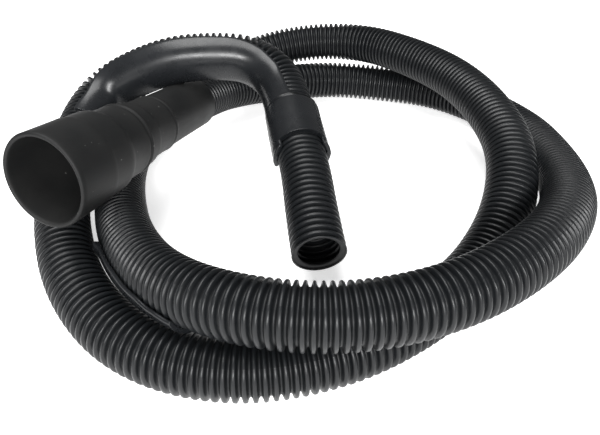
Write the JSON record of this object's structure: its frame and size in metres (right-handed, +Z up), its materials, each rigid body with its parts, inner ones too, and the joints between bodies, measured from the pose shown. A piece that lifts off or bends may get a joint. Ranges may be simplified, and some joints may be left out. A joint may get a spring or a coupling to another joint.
{
  "type": "corrugated drain hose",
  "caption": "Coiled black corrugated drain hose with a stepped rubber pump cuff, a U-bend gooseneck former near the outlet and a half-round saddle.",
  "frame": {"origin": "middle of the coil's outer box, on the surface it lies on", "axes": "+Z up, -Y towards the open outlet end, +X across the coil to the right when looking along +Y"},
  "size_m": [0.3721, 0.381, 0.1015],
  "materials": {
    "hose_plastic": "black ribbed polyethylene with a dull sheen on the ribs",
    "cuff_rubber": "matte black soft rubber",
    "former_plastic": "smooth black moulded plastic, semi-gloss"
  },
  "bodies": {
    "hose": {"hose_inlet_end": "hose_plastic", "hose_back_lower_run": "hose_plastic", "hose_right_outer_back": "hose_plastic", "hose_right_outer_front": "hose_plastic", "hose_front_upper_run": "hose_plastic", "hose_left_inner_front": "hose_plastic", "hose_left_inner_back": "hose_plastic", "hose_back_upper_left": "hose_plastic", "hose_back_upper_right": "hose_plastic", "hose_right_inner_turn": "hose_plastic", "hose_front_crossing": "hose_plastic", "hose_front_lower_run": "hose_plastic", "hose_left_outer_turn": "hose_plastic", "hose_gooseneck_rise": "hose_plastic", "hose_gooseneck_bend": "hose_plastic", "hose_gooseneck_collar": "hose_plastic", "hose_gooseneck_leg": "hose_plastic", "hose_outlet_end": "hose_plastic", "gooseneck_former": "former_plastic", "bend_saddle": "former_plastic"},
    "cuff": {"pump_cuff": "cuff_rubber"}
  },
  "joints": [
    {"name": "cuff_pull_off", "type": "slide", "parent": "hose", "child": "cuff", "axis": [-0.2711, -0.9416, 0.1997], "range_m": [0, 0.06]}
  ]
}
